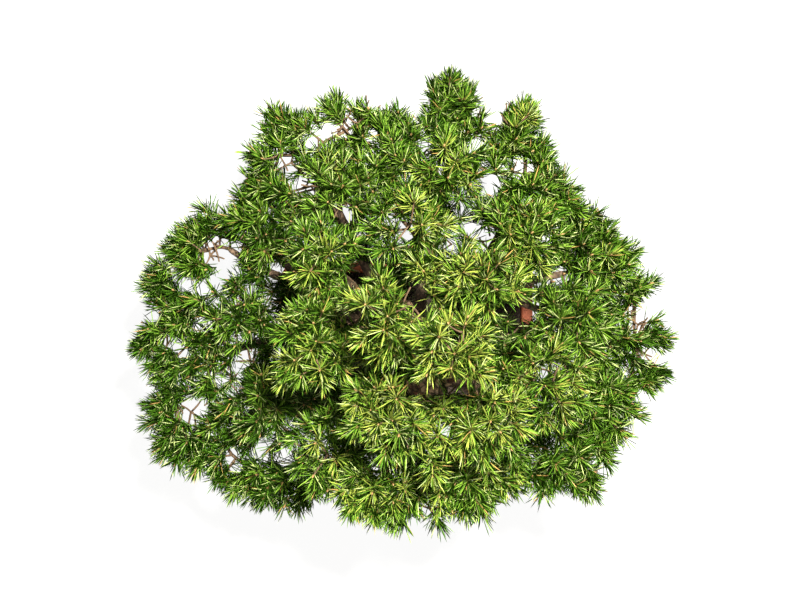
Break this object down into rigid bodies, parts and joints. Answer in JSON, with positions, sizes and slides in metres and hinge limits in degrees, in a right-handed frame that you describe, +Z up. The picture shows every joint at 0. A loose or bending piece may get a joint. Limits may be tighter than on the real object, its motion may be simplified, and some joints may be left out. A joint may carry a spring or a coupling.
{
  "type": "japanese white pine bonsai",
  "caption": "Potted bonsai of a Japanese white pine: leaning trunk with surface roots, spreading boughs, layered pads of needles, shallow unglazed clay pot",
  "frame": {"origin": "centre of the pot's underside, on the face that the pot stands on", "axes": "+X along the pot's long side, to the right of the tree's front; +Y to its back; +Z up"},
  "size_m": [0.6362, 0.52, 0.5557],
  "materials": {
    "clay": "unglazed fired clay, matt",
    "soil": "dark granular soil with a little moss",
    "bark": "grey-brown plated bark",
    "needles": "fresh green needles on thin brown twigs"
  },
  "bodies": {
    "root": {"pot": "clay", "soil": "soil", "trunk": "bark", "bough_left": "bark", "bough_left_front": "bark", "bough_left_rear": "bark", "bough_right": "bark", "bough_right_rear": "bark", "bough_back_left": "bark", "bough_right_front": "bark", "bough_back": "bark", "bough_back_right": "bark", "bough_front_left": "bark", "bough_front_right": "bark", "bough_upper_left": "bark", "bough_upper_right": "bark", "bough_upper_rear": "bark", "bough_upper_front": "bark", "bough_crown_left": "bark", "bough_left_inner": "bark", "bough_left_front_inner": "bark", "bough_left_rear_inner": "bark", "bough_right_inner": "bark", "bough_back_left_inner": "bark", "bough_back_inner": "bark", "bough_back_right_inner": "bark", "bough_front_left_inner": "bark", "mass_left_tip": "needles", "mass_left_mid": "needles", "mass_left_front_tip": "needles", "mass_left_front_edge": "needles", "mass_left_front_mid": "needles", "mass_left_rear_tip": "needles", "mass_left_rear_mid": "needles", "mass_right_tip": "needles", "mass_right_rear_tip": "needles", "mass_right_mid": "needles", "mass_back_left_tip": "needles", "mass_back_left_edge": "needles", "mass_back_left_mid": "needles", "mass_right_front_tip": "needles", "mass_right_front_edge": "needles", "mass_back_tip": "needles", "mass_back_mid_left": "needles", "mass_back_mid": "needles", "mass_back_right_tip": "needles", "mass_back_right_edge": "needles", "mass_back_right_mid": "needles", "mass_front_left_tip": "needles", "mass_front_left_mid": "needles", "mass_front_right_tip": "needles", "mass_upper_left_front": "needles", "mass_upper_left_rear": "needles", "mass_upper_right_tip": "needles", "mass_upper_rear_left": "needles", "mass_upper_rear_right": "needles", "mass_upper_front_left": "needles", "mass_upper_front_right": "needles", "mass_crown_side": "needles", "mass_crown_top": "needles"}
  },
  "joints": []
}
